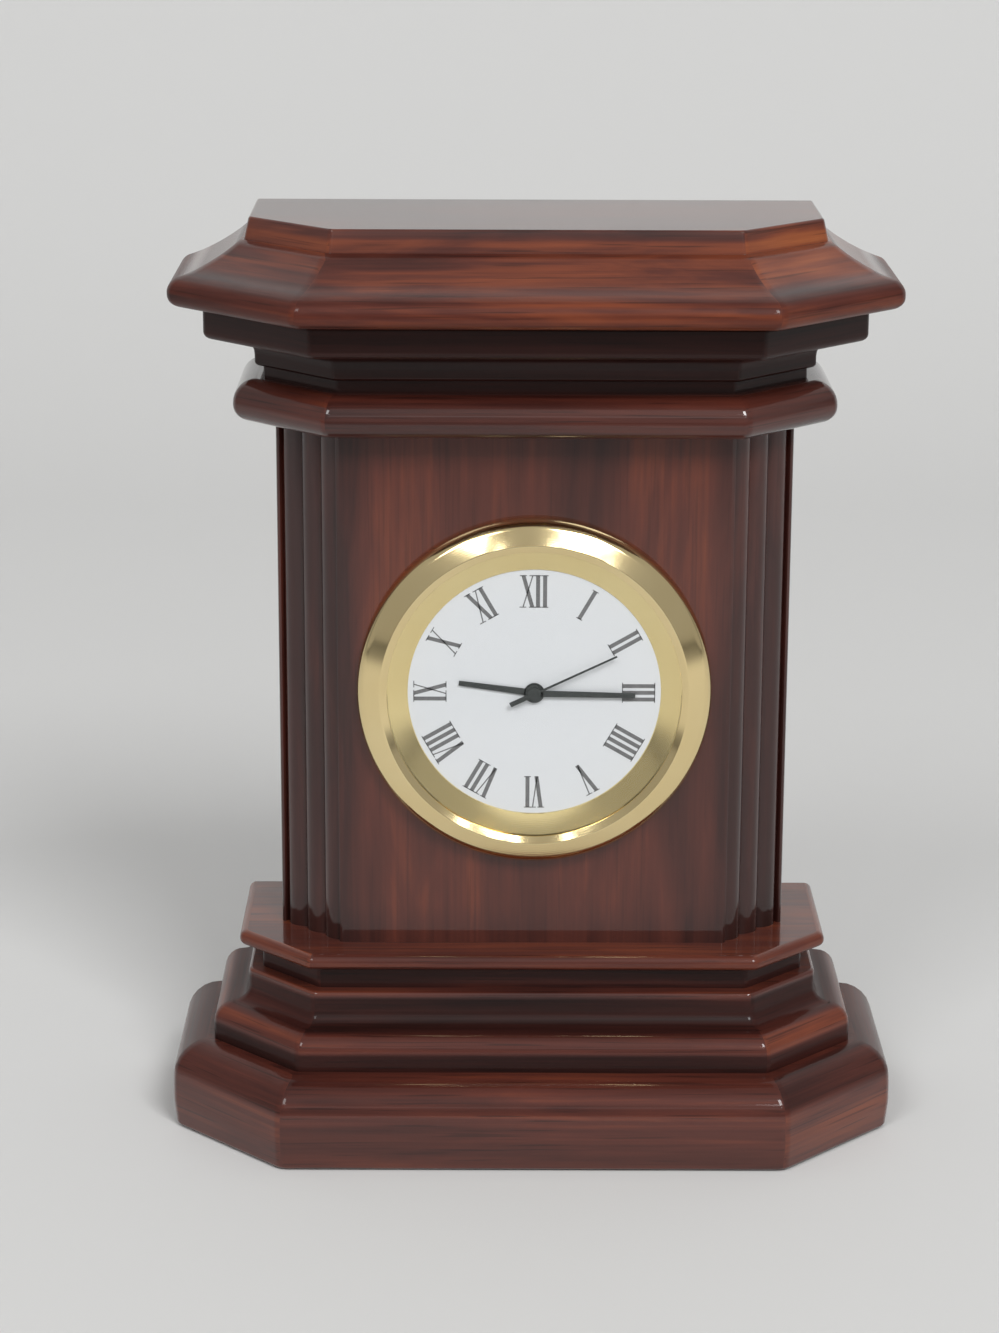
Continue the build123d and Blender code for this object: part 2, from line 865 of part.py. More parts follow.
def seconds_wheel():
    rear = bridge_front + pivot_depth
    front_arbor = rod(seconds_arbor_radius, seconds_hand_front, third_wheel_front)
    pinion = wheel(seconds_pinion_teeth, third_module, third_angle, third_wheel_front, centre)
    toothed = wheel(seconds_teeth, seconds_module, intermediate_angle, seconds_wheel_front, centre)
    sleeve_radius = third_module * (seconds_pinion_teeth / 2 - dedendum_share)
    sleeve = rod(sleeve_radius, third_wheel_front, seconds_wheel_front)
    return front_arbor + pinion + sleeve + toothed + rod(pivot_radius, seconds_wheel_front, rear)


def intermediate_wheel():
    pinion = wheel(
        intermediate_pinion_teeth, seconds_module, intermediate_pinion_phase, seconds_wheel_front, intermediate_at
    )
    toothed = wheel(intermediate_teeth, rotor_module, rotor_angle, intermediate_wheel_front, intermediate_at)
    sleeve_radius = seconds_module * (intermediate_pinion_teeth / 2 - dedendum_share)
    sleeve = rod(sleeve_radius, seconds_wheel_front, intermediate_wheel_front, intermediate_at)
    return train_arbor(intermediate_at) + pinion + sleeve + toothed


def rotor():
    magnet_middle = (stator_front + stator_back) / 2
    magnet_front = magnet_middle - rotor_magnet_length / 2
    magnet = rod(rotor_magnet_radius, magnet_front, magnet_front + rotor_magnet_length, rotor_at)
    pinion = wheel(rotor_teeth, rotor_module, rotor_phase, intermediate_wheel_front, rotor_at)
    return train_arbor(rotor_at) + magnet + pinion


nodes["hour_wheel"] = hour_wheel()
nodes["cannon_pinion"] = cannon_pinion()
nodes["minute_wheel"] = minute_wheel()
nodes["setting_arbor"] = setting_arbor()
nodes["setting_knob"] = setting_knob()
nodes["centre_wheel"] = centre_wheel()
nodes["third_wheel"] = third_wheel()
nodes["seconds_wheel"] = seconds_wheel()
nodes["intermediate_wheel"] = intermediate_wheel()
nodes["rotor"] = rotor()


# Hands, drawn at twelve and turned clockwise to the time at rest
def hand(length, width, tip_width, hub_radius, bore, tail, tail_width, front, angle):
    blade = make_face(
        Polyline((-width / 2, 0), (width / 2, 0), (tip_width / 2, length), (-tip_width / 2, length), close=True)
    )
    sketch = blade + disc(hub_radius)
    if tail:
        sketch = sketch + Pos(0, -tail / 2) * Rectangle(tail_width, tail)
    sketch = Rot(0, 0, -angle) * (sketch - disc(bore))
    return plate(sketch, front, front + hand_thickness)


seconds_angle = rest_seconds * 6
minute_angle = rest_minutes * 6 + rest_seconds / 10
hour_angle = rest_hours * 30 + minute_angle / 12

nodes["hour_hand"] = hand(
    hour_hand_length, hour_hand_width, hour_hand_tip_width, hour_hub_radius,
    hour_pipe_radius + seat_clearance, 0, 0, hour_hand_front, hour_angle,
)
nodes["minute_hand"] = hand(
    minute_hand_length, minute_hand_width, minute_hand_tip_width, minute_hub_radius,
    cannon_radius + seat_clearance, 0, 0, minute_hand_front, minute_angle,
)
nodes["seconds_hand"] = hand(
    seconds_hand_length, seconds_hand_width, seconds_hand_width, seconds_hub_radius,
    seconds_arbor_radius + seat_clearance, seconds_tail_length, seconds_tail_width,
    seconds_hand_front, seconds_angle,
)


# Motor: the coil lies across the foot of the movement, with the stator round the rotor
coil_left = stator_left + stator_leg_width + bobbin_end_gap
coil_right = stator_right - stator_leg_width - bobbin_end_gap
core_depth = stator_back + core_width / 2


def across(radius, left, right):
    # A round bar along X at the coil
    bar = Rot(0, 90, 0) * Cylinder(radius, right - left)
    return Pos((left + right) / 2, front_y + core_depth, dial_z - coil_drop) * bar


def coil_core():
    left = stator_left + (stator_leg_width - core_overlap) / 2
    right = stator_right - (stator_leg_width - core_overlap) / 2
    return core_bar(left, right, core_width)


def core_bar(left, right, width):
    return Pos((left + right) / 2, front_y + core_depth, dial_z - coil_drop) * Box(right - left, width, width)


def coil_bobbin():
    sleeve = across(bobbin_sleeve_radius, coil_left, coil_right)
    sleeve = sleeve + across(bobbin_radius, coil_left, coil_left + bobbin_flange)
    sleeve = sleeve + across(bobbin_radius, coil_right - bobbin_flange, coil_right)
    return sleeve - core_bar(coil_left, coil_right, core_width + 2 * seat_clearance)


def coil_winding():
    left = coil_left + bobbin_flange
    right = coil_right - bobbin_flange
    return across(winding_radius, left, right) - across(bobbin_sleeve_radius + seat_clearance, left, right)


def stator():
    bar_middle = (stator_left + stator_right) / 2
    sketch = Pos(bar_middle, -stator_bar_drop) * Rectangle(stator_right - stator_left, stator_bar_width)
    leg_foot = coil_drop + core_width / 2
    for x in leg_middles:
        leg = Rectangle(stator_leg_width, leg_foot - stator_bar_drop)
        sketch = sketch + Pos(x, -(leg_foot + stator_bar_drop) / 2) * leg
    sketch = sketch - disc(rotor_magnet_radius + stator_gap, rotor_at)
    return plate(sketch, stator_front, stator_back)


nodes["coil_core"] = coil_core()
nodes["coil_bobbin"] = coil_bobbin()
nodes["coil_winding"] = coil_winding()
nodes["stator"] = stator()

# Button cell with its contacts, and the circuit board
cell_front = plate_back + contact_thickness
cell_back = cell_front + cell_thickness
board_back = plate_back + board_thickness
board_top = cell_at[1] - cell_radius - board_gap
board_middle = (cell_at[0], board_top - board_height / 2)


def button_cell():
    cap = rod(cell_cap_radius, cell_front, cell_front + cell_cap_thickness, cell_at)
    return cap + rod(cell_radius, cell_front + cell_cap_thickness, cell_back, cell_at)


def minus_contact():
    tongue_length = cell_at[1] - board_top
    tongue = Pos(cell_at[0], board_top + tongue_length / 2) * Rectangle(contact_tongue_width, tongue_length)
    return plate(disc(contact_radius, cell_at) + tongue, plate_back, cell_front)


def plus_clip():
    left = cell_at[0] - clip_width / 2
    right = cell_at[0] + clip_reach + clip_foot
    strap = Pos((left + right) / 2, cell_at[1]) * Rectangle(right - left, clip_width)
    foot = Pos(right - clip_foot / 2, cell_at[1]) * Rectangle(clip_foot, clip_width)
    return plate(strap, cell_back, cell_back + contact_thickness) + plate(foot, bridge_back, cell_back)


def quartz_crystal():
    at = (cell_at[0], front_y + board_back + crystal_radius, dial_z + board_top - crystal_drop)
    return Pos(*at) * (Rot(0, 90, 0) * Cylinder(crystal_radius, crystal_length))


nodes["button_cell"] = button_cell()
nodes["minus_contact"] = minus_contact()
nodes["plus_clip"] = plus_clip()
nodes["circuit_board"] = plate(Pos(*board_middle) * Rectangle(board_width, board_height), plate_back, board_back)
nodes["quartz_crystal"] = quartz_crystal()
nodes["driver_chip"] = rod(chip_radius, board_back, board_back + chip_thickness, (cell_at[0], board_top - chip_drop))

os.makedirs("parts", exist_ok=True)
for name, solid in nodes.items():
    export_step(solid, os.path.join("parts", name + ".step"))
print(len(nodes), "pieces")
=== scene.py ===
import bmesh
import bpy
import json
import math
from mathutils import Matrix, Vector


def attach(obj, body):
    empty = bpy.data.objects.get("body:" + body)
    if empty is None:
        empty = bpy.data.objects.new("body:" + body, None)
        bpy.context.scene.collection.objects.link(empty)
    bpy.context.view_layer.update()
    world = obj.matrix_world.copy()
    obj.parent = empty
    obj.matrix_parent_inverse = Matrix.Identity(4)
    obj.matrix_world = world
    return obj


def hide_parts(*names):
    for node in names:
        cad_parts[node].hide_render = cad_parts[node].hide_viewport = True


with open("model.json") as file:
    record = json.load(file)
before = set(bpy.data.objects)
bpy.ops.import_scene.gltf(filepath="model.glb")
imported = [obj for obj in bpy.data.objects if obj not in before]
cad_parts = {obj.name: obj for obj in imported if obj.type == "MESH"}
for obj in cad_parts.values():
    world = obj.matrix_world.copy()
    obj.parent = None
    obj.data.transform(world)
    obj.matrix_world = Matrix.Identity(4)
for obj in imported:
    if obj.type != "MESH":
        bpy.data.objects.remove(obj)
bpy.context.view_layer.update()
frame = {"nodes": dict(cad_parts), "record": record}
mm = 0.001  # sizes below are in millimetres


# camera

camera = {
    "place": (-6.26, -464.2, 199.64), "pitch": 15.75, "yaw": 0.17, "roll": 0.22, "lens": 91.5, "sensor": 36,
}


def addCamera():
    pitch, yaw, roll = (math.radians(camera[k]) for k in ("pitch", "yaw", "roll"))
    ahead = Vector((math.sin(yaw) * math.cos(pitch), math.cos(yaw) * math.cos(pitch), -math.sin(pitch)))
    right = ahead.cross(Vector((0, 0, 1))).normalized()
    turn = Matrix.Rotation(-roll, 3, ahead)
    right = turn @ right
    up = right.cross(ahead)
    lens = bpy.data.cameras.new("photoLens")
    lens.lens = camera["lens"]
    lens.sensor_width = camera["sensor"]
    lens.clip_start = 0.01
    eye = bpy.data.objects.new("photoCamera", lens)
    aim = Matrix((right, up, -ahead)).transposed().to_4x4()
    eye.matrix_world = Matrix.Translation(Vector(camera["place"]) * mm) @ aim
    bpy.context.collection.objects.link(eye)
    bpy.context.scene.camera = eye


addCamera()
print("camera set")


# shader helpers


class Shade:
    # one socket; sums of these add Math nodes
    def __init__(self, tree, socket):
        self.tree = tree
        self.socket = socket

    def node(self, kind, settings=None, sockets=None, out=0):
        made = self.tree.nodes.new(kind)
        for name, value in (settings or {}).items():
            if name == "stops":
                ramp = made.color_ramp
                while len(ramp.elements) < len(value):
                    ramp.elements.new(0.5)
                for element, (place, colour) in zip(ramp.elements, value):
                    element.position = place
                    element.color = (*colour, 1)
            else:
                setattr(made, name, value)
        for name, value in (sockets or {}).items():
            if isinstance(value, Shade):
                self.tree.links.new(value.socket, made.inputs[name])
            else:
                made.inputs[name].default_value = value
        return Shade(self.tree, made.outputs[out])

    def maths(self, operation, first, second=0.0):
        return self.node("ShaderNodeMath", {"operation": operation}, {0: first, 1: second})

    def __add__(self, other):
        return self.maths("ADD", self, other)

    def __radd__(self, other):
        return self.maths("ADD", other, self)

    def __sub__(self, other):
        return self.maths("SUBTRACT", self, other)

    def __rsub__(self, other):
        return self.maths("SUBTRACT", other, self)

    def __mul__(self, other):
        return self.maths("MULTIPLY", self, other)

    def __rmul__(self, other):
        return self.maths("MULTIPLY", other, self)

    def __truediv__(self, other):
        return self.maths("DIVIDE", self, other)

    def __pow__(self, other):
        return self.maths("POWER", self, other)

    def size(self):
        return self.maths("ABSOLUTE", self)

    def wave(self):
        return self.maths("SINE", self)

    # 0 below low, 1 above high, smooth between
    def step(self, low, high):
        return self.node(
            "ShaderNodeMapRange",
            {"interpolation_type": "SMOOTHSTEP"},
            {0: self, 1: low, 2: high, 3: 0.0, 4: 1.0},
        )

    def axis(self, letter):
        return self.node("ShaderNodeSeparateXYZ", {}, {0: self}, "XYZ".index(letter))

    def stretched(self, scale, offset=(0, 0, 0)):
        return self.node("ShaderNodeMapping", {}, {"Vector": self, "Scale": scale, "Location": offset})

    def noise(self, scale, detail=3.0, rough=0.55, bend=0.0):
        return self.node(
            "ShaderNodeTexNoise",
            {},
            {"Vector": self, "Scale": scale, "Detail": detail, "Roughness": rough, "Distortion": bend},
        )

    def ramp(self, stops):
        return self.node("ShaderNodeValToRGB", {"stops": stops}, {"Fac": self})

    # colour mix, with this as the share of the second
    def mix(self, first, second):
        return self.node("ShaderNodeMix", {"data_type": "RGBA"}, {0: self, 6: first, 7: second}, 2)

    def bump(self, strength, distance):
        return self.node("ShaderNodeBump", {}, {"Strength": strength, "Distance": distance, "Height": self})

    # distance from the dial's axis
    def fromAxis(self):
        centred = self.stretched((1, 1, 1), (0, 0, -shaft["dialHeight"] * mm))
        return (centred.axis("X") ** 2 + centred.axis("Z") ** 2) ** 0.5


def newFinish(name):
    material = bpy.data.materials.new(name)
    material.use_nodes = True
    tree = material.node_tree
    shader = tree.nodes["Principled BSDF"]
    place = tree.nodes.new("ShaderNodeTexCoord")
    return material, shader, Shade(tree, place.outputs["Object"])


def dress(shader, links=None, fixed=None):
    for name, value in (fixed or {}).items():
        shader.inputs[name].default_value = value
    for name, shade in (links or {}).items():
        shade.tree.links.new(shade.socket, shader.inputs[name])


# lacquered wood

woodLook = {
    "dark": (0.009, 0.0036, 0.0030),
    "deep": (0.034, 0.0085, 0.0064),
    "red": (0.085, 0.0200, 0.0125),
    "warm": (0.190, 0.0450, 0.0180),
    "streak": (0.33, 0.095, 0.030),
    "coat": {"Specular IOR Level": 0.1, "Coat Weight": 1.0, "Coat Roughness": 0.06, "Coat IOR": 1.5},
    "border": {"side": (0.0235, 0.0275), "foot": (0.0300, 0.0355)},
}


# share of a normal that points sideways, where the front turns to the clip and the clip to the side
faceTurn = {"clip": (0.24, 0.26), "side": (0.74, 0.76), "least": 0.02}


# distance along the face that a point is on: the front, a clipped corner or a side
def alongFace(place):
    normal = place.node("ShaderNodeNewGeometry", {}, {}, "Normal")
    sideways, forward = normal.axis("X").size(), normal.axis("Y").size()
    facing = sideways / (sideways + forward + faceTurn["least"])
    across, depth = place.axis("X").size(), place.axis("Y")
    onClip = facing.step(*faceTurn["clip"])
    onSide = facing.step(*faceTurn["side"])
    diagonal, sideStart = 0.7071, 0.05
    along = (
        across * (1 - onClip)
        + (across + depth) * diagonal * (onClip - onSide)
        + (depth + sideStart) * onSide
    )
    inward = depth * (1 - onClip) + (across - depth) * diagonal * (onClip - onSide) + across * onSide
    run = along * place.maths("SIGN", place.axis("X"))
    return place.node("ShaderNodeCombineXYZ", {}, {0: run, 1: inward, 2: place.axis("Z")})


def woodFinish(name, look, seed):
    material, shader, place = newFinish(name)
    upright = look.get("upright")
    surface = place if upright else alongFace(place)
    # the grain's own axis is drawn out
    draw = (7.0, 5.5, 1.0) if upright else (1.0, 5.5, 7.0)
    shift = (seed * 0.37, seed * 0.11, seed * 0.23)
    figure = look["figure"]
    grainPlace = surface.stretched(draw, shift)
    broad = grainPlace.noise(look["broad"], 3.0, 0.5, 1.1)
    bands = grainPlace.noise(look["broad"] * 2.7, 4.0, 0.6, 0.7)
    fibre = surface.stretched(tuple(v * v for v in draw), shift).noise(26.0, 3.0, 0.6)
    pores = surface.stretched(tuple(v ** 1.9 for v in draw), shift).noise(60.0, 1.0, 0.5)
    line = look.get("line", 0.3)
    base = look["lift"] - 0.5 * figure - 0.5 * line
    tone = broad * (0.6 * figure) + bands * (0.4 * figure) + fibre * line + base
    # painted shade and painted light by height: darker in the recesses under and between the mouldings,
    # lighter on the crown's slopes; the lacquer also differs by height. Columns: low, high, change of tone,
    # share of lacquer lost
    height = place.axis("Z") / mm
    lacquer, fade = 1.0, 0.4
    for low, high, paintedShading, dull in look.get("bands", ()):
        band = height.step(low - fade, low + fade) - height.step(high - fade, high + fade)
        # painted shade or painted light for this height band
        tone = tone + band * paintedShading
        lacquer = lacquer - band * dull
    if upright:
        # darker along the sides of the panel, as toner on a shaded finish, and towards its foot
        side = place.axis("X").size().step(*woodLook["border"]["side"])
        foot = 1 - place.axis("Z").step(*woodLook["border"]["foot"])
        tone = tone - side * 0.12 - foot * 0.06
    stops = zip((0.12, 0.34, 0.52, 0.70, 0.90), ("dark", "deep", "red", "warm", "streak"))
    colour = tone.ramp([(stop, woodLook[shade]) for stop, shade in stops])
    poreMask = pores.step(0.60, 0.72) * (1.5 * line)
    colour = poreMask.mix(colour, (*woodLook["dark"], 1))
    wave = place.noise(75.0, 1.0, 0.4)
    links = {"Base Color": colour, "Roughness": 0.36 + fibre * 0.16, "Normal": wave.bump(0.10, 0.0006)}
    if look.get("bands"):
        links["Coat Weight"] = lacquer
    dress(shader, links, woodLook["coat"])
    return material


# boards of the case

case = {"halfWidth": 36.5, "front": -5.2, "back": 21.0, "clip": 9.0, "spare": 12.0}


# corners of the case in plan, for an overhang
def planCorners(overhang, clipProud):
    width = case["halfWidth"] + overhang
    front = case["front"] - overhang
    clip = case["halfWidth"] - case["clip"] - case["front"] + (clipProud + overhang) * math.sqrt(2)
    rear = case["back"] + case["spare"] + overhang
    right = [(clip + front, front), (width, width - clip), (width, rear)]
    return [(-x, y) for x, y in reversed(right)] + right


# edges that turn more than this stay sharp
def smoothMesh(mesh, degrees):
    for polygon in mesh.polygons:
        polygon.use_smooth = True
    mesh.set_sharp_from_angle(angle=math.radians(degrees))


def newPiece(name, bm, material, body, node, smooth=40):
    mesh = bpy.data.meshes.new(name)
    bm.to_mesh(mesh)
    bm.free()
    piece = bpy.data.objects.new(name, mesh)
    bpy.context.collection.objects.link(piece)
    smoothMesh(mesh, smooth)
    mesh.materials.append(material)
    # large faces keep their own normals beside small rounds
    piece.modifiers.new("flatFaces", "WEIGHTED_NORMAL").keep_sharp = True
    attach(piece, body)
    if node:
        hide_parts(node)
    return piece


# how far a round of this radius reaches along both sides of a corner
def roundReach(before, corner, after, radius):
    arrive = (Vector(corner) - Vector(before)).normalized()
    leave = (Vector(after) - Vector(corner)).normalized()
    return radius * math.tan(arrive.angle(leave) / 2)


def softEdges(bm, edges, offset, segments):
    bmesh.ops.bevel(
        bm, geom=edges, offset=offset, offset_type="OFFSET", segments=segments, profile=0.5, affect="EDGES",
        clamp_overlap=False, material=-1,
    )


# edges where two fairly upright faces turn the corner in plan
def mitreEdges(bm):
    upright, least, most = 0.12, 30, 60
    found = []
    for edge in bm.edges:
        if len(edge.link_faces) != 2:
            continue
        sides = [Vector(face.normal.xy) for face in edge.link_faces]
        if min(side.length for side in sides) < upright:
            continue
        if least < math.degrees(sides[0].angle(sides[1])) < most:
            found.append(edge)
    return found


def mouldedBoard(name, spec, material, node, body="case"):
    bm = bmesh.new()
    edge, proud = spec["edge"], spec["clipProud"]
    last = planCorners(edge[0][0], proud)
    cap = bm.faces.new([bm.verts.new((x * mm, y * mm, edge[0][1] * mm)) for x, y in last])
    rings = [cap.edges[:]]
    for overhang, height, _ in edge[1:]:
        cap = bmesh.ops.extrude_discrete_faces(bm, faces=[cap])["faces"][0]
        wanted = planCorners(overhang, proud)
        for vert in cap.verts:
            number = min(range(len(last)), key=lambda n: (Vector(last[n]) * mm - vert.co.xy).length)
            vert.co = Vector((*wanted[number], height)) * mm
        rings.append(cap.edges[:])
        last = wanted
    bmesh.ops.contextual_create(bm, geom=[e for e in bm.edges if e.is_boundary])
    bmesh.ops.recalc_face_normals(bm, faces=bm.faces)
    inside = -99
    profile = [(inside, edge[0][1])] + [(o, z) for o, z, _ in edge] + [(inside, edge[-1][1])]
    for ring, before, corner, after, (_, _, radius) in zip(rings, profile, profile[1:], profile[2:], edge):
        if radius:
            softEdges(bm, ring, roundReach(before, corner, after, radius) * mm, spec.get("steps", 6))
    bm.normal_update()
    softEdges(bm, mitreEdges(bm), spec["soft"] * mm, 3)
    back = spec.get("back", case["back"]) * mm
    whole = bm.verts[:] + bm.edges[:] + bm.faces[:]
    cut = bmesh.ops.bisect_plane(
        bm, geom=whole, plane_co=(0, back, 0), plane_no=(0, 1, 0), clear_outer=True
    )["geom_cut"]
    bmesh.ops.contextual_create(bm, geom=[e for e in cut if isinstance(e, bmesh.types.BMEdge)])
    bmesh.ops.recalc_face_normals(bm, faces=bm.faces)
    return newPiece(name, bm, material, body, node)


# edge points: overhang, height, round
plinth = {
    "edge": [(15.4, 0.2, 0.6), (15.8, 3.98, 9.0), (15.8, 6.5, 9.0), (15.5, 12.8, 5.0)],
    "clipProud": 1.4, "soft": 0.9,
}
coveBoard = {
    "edge": [(9.85, 12.8, 0), (9.85, 18.2, 2.8), (4.8, 18.2, 2.2), (4.8, 23.0, 0.5)],
    "clipProud": 1.4, "soft": 0.7,
}
capBoard = {
    "edge": [(2.8, 23.0, 0), (2.8, 26.8, 1.4), (6.0, 26.8, 0.7), (6.0, 28.9, 1.1)],
    "clipProud": 1.4, "soft": 0.6,
}
bead = {"edge": [(5.9, 103.7, 2.2), (5.9, 109.6, 3.4)], "clipProud": -0.6, "soft": 0.8, "steps": 8}
neck = {
    "edge": [(1.6, 109.6, 0), (1.6, 111.4, 0), (2.8, 111.4, 0.5), (2.8, 115.35, 2.4), (6.2, 115.35, 0),
             (6.2, 115.6, 0)],
    "clipProud": -0.6, "soft": 0.4,
}
slabBoard = {"edge": [(9.7, 115.6, 1.0), (9.7, 120.4, 1.0)], "clipProud": -0.6, "soft": 0.6}
crown = {
    "edge": [(14.5, 120.4, 1.6), (14.5, 123.8, 2.0), (8.2, 126.0, 22.0), (4.4, 129.2, 0)],
    "clipProud": -0.6, "soft": 1.0, "steps": 8,
}
topBoard = {"edge": [(4.0, 129.2, 0), (3.3, 132.3, 0.4)], "clipProud": -0.6, "soft": 0.5, "steps": 4}

# the bands below paint shade into the wood in the recesses under and between the base mouldings, and paint
# light onto the crown's slope and the top board's front
plinthWood = woodFinish(
    "plinthLacquer", {"lift": 0.50, "figure": 0.9, "broad": 9.0, "bands": [(8.6, 14.0, -0.07, 0.5)]}, 1.0
)
coveWood = woodFinish(
    "coveLacquer",
    {"lift": 0.54, "figure": 0.8, "broad": 9.0,
     "bands": [(12.0, 15.4, -0.26, 0.8), (15.4, 18.0, 0.0, 0.4), (18.0, 22.2, -0.22, 0.75)]}, 5.0,
)
capWood = woodFinish(
    "capLacquer",
    {"lift": 0.60, "figure": 0.8, "broad": 9.0,
     "bands": [(22.0, 26.6, -0.26, 0.8), (26.6, 28.6, 0.0, 0.4)]}, 6.0,
)
beadWood = woodFinish("beadLacquer", {"lift": 0.43, "figure": 0.7, "broad": 9.0}, 7.0)
neckWood = woodFinish(
    "neckLacquer", {"lift": 0.25, "figure": 0.5, "broad": 9.0, "bands": [(108.0, 122.0, 0.0, 0.7)]}, 2.0
)
crownWood = woodFinish(
    "crownLacquer",
    {"lift": 0.50, "figure": 1.4, "broad": 12.0,
     "bands": [(120.0, 124.6, 0.03, 0.7), (125.4, 129.2, 0.04, 0.3), (129.2, 131.0, 0.18, 0.2)]}, 3.0,
)
panelWood = woodFinish(
    "panelLacquer", {"lift": 0.49, "figure": 0.8, "broad": 11.0, "line": 0.14, "upright": True}, 4.0
)

mouldedBoard("plinthBoard", plinth, plinthWood, "base_plinth")
mouldedBoard("baseCove", coveBoard, coveWood, "base_cove_moulding")
mouldedBoard("baseCap", capBoard, capWood, "base_cap_moulding")
mouldedBoard("corniceBead", bead, beadWood, "cornice_bead")
mouldedBoard("corniceNeck", neck, neckWood, "cornice_neck")
mouldedBoard("corniceSlab", slabBoard, neckWood, "cornice_slab")
mouldedBoard("crownBoard", crown, crownWood, "crown_moulding")
mouldedBoard("topBoard", topBoard, crownWood, "top_board")
print("mouldings built")


# shaft with reeded corners and the bore for the clock

shaft = {
    "low": 28.9, "high": 103.7, "reeds": 3, "margin": 0.5, "sink": 0.9, "bore": 22.5, "dialHeight": 66.8,
    "soft": 0.25, "cutter": 200.0,
}
turning = {"steps": 160, "near": 0.004, "rounds": 5, "smooth": 30}


def buildShaft():
    bm = bmesh.new()
    half, front, back, clip = (case[k] for k in ("halfWidth", "front", "back", "clip"))
    along = Vector((1, 1, 0)).normalized()
    inward = Vector((-1, 1, 0)).normalized()
    start = Vector((half - clip, front, 0))
    length = clip * math.sqrt(2)
    margin, sink = shaft["margin"], shaft["sink"]
    width = (length - 2 * margin) / shaft["reeds"]
    radius = (width * width / 4 + sink ** 2) / (2 * sink)
    sweep = 2 * math.asin(width / 2 / radius)
    feet = [start + along * (margin + n * width) + inward * sink for n in range(shaft["reeds"] + 1)]
    inner = [(0, front, 0), start, start + along * margin, feet[0]]
    rear = [(half, front + clip, 0), (half, back, 0), (0, back, 0)]
    outer = [feet[-1], start + along * (length - margin)] + rear
    for points in (inner, outer):
        chain = [bm.verts.new(point) for point in points]
        for pair in zip(chain, chain[1:]):
            bm.edges.new(pair)
    for foot in feet[:-1]:
        centre = foot + along * (width / 2) + inward * (radius - sink)
        bmesh.ops.spin(bm, geom=[bm.verts.new(foot)], cent=centre, axis=(0, 0, 1), angle=sweep, steps=10)
    bmesh.ops.remove_doubles(bm, verts=bm.verts, dist=0.001)
    bmesh.ops.mirror(bm, geom=bm.verts[:] + bm.edges[:], axis="X", merge_dist=0.001)
    plan = bmesh.ops.contextual_create(bm, geom=bm.edges[:])["faces"]
    bmesh.ops.scale(bm, vec=(mm, mm, mm), verts=bm.verts)
    bmesh.ops.translate(bm, vec=(0, 0, shaft["low"] * mm), verts=bm.verts)
    grown = bmesh.ops.extrude_face_region(bm, geom=plan)["geom"]
    tops = [v for v in grown if isinstance(v, bmesh.types.BMVert)]
    bmesh.ops.translate(bm, vec=(0, 0, (shaft["high"] - shaft["low"]) * mm), verts=tops)
    bmesh.ops.recalc_face_normals(bm, faces=bm.faces)
    arrises = [
        e for e in bm.edges
        if abs(e.verts[0].co.z - e.verts[1].co.z) > 0.01 and e.is_convex and e.calc_face_angle(0) > 0.6
    ]
    softEdges(bm, arrises, shaft["soft"] * mm, 3)
    return bm


def cutBore(piece):
    bm = bmesh.new()
    turn = Matrix.Translation((0, 0, shaft["dialHeight"] * mm)) @ Matrix.Rotation(math.radians(90), 4, "X")
    radius = shaft["bore"] * mm
    bmesh.ops.create_cone(
        bm, cap_ends=True, segments=turning["steps"], radius1=radius, radius2=radius,
        depth=shaft["cutter"] * mm, matrix=turn,
    )
    mesh = bpy.data.meshes.new("boreTool")
    bm.to_mesh(mesh)
    bm.free()
    tool = bpy.data.objects.new("boreTool", mesh)
    bpy.context.collection.objects.link(tool)
    cut = piece.modifiers.new("bore", "BOOLEAN")
    cut.operation = "DIFFERENCE"
    cut.solver = "EXACT"
    cut.object = tool
    ready = piece.evaluated_get(bpy.context.evaluated_depsgraph_get())
    bored = bpy.data.meshes.new_from_object(ready)
    piece.modifiers.clear()
    piece.data = bored
    bpy.data.objects.remove(tool)
    smoothMesh(bored, turning["smooth"])


shaftPiece = newPiece(
    "shaftBlock", buildShaft(), panelWood, "case", "shaft_block", turning["smooth"]
)
cutBore(shaftPiece)
print("shaft built")


# felt under the plinth

felt = {"edge": [(11.4, 0, 0.3), (11.4, 1.2, 0)], "clipProud": 1.4, "soft": 0.4, "back": 17.0, "steps": 3}


def feltFinish():
    material, shader, place = newFinish("greenFelt")
    fibre = place.stretched((1, 2.4, 1)).noise(1400.0, 5.0, 0.7, 1.5)
    tuft = place.noise(260.0, 3.0)
    colour = (fibre * 0.6 + tuft * 0.4).ramp([(0.3, (0.010, 0.034, 0.018)), (0.7, (0.028, 0.080, 0.042))])
    dress(
        shader,
        {"Base Color": colour, "Roughness": 0.85 + fibre * 0.12, "Normal": fibre.bump(0.6, 0.00012)},
        {"Sheen Weight": 0.35, "Specular IOR Level": 0.15},
    )
    return material


feltPiece = mouldedBoard("feltSheet", felt, feltFinish(), "felt_pad")
print("felt laid")


# clock insert: turned rings; profile points are radius, depth from the case front, round


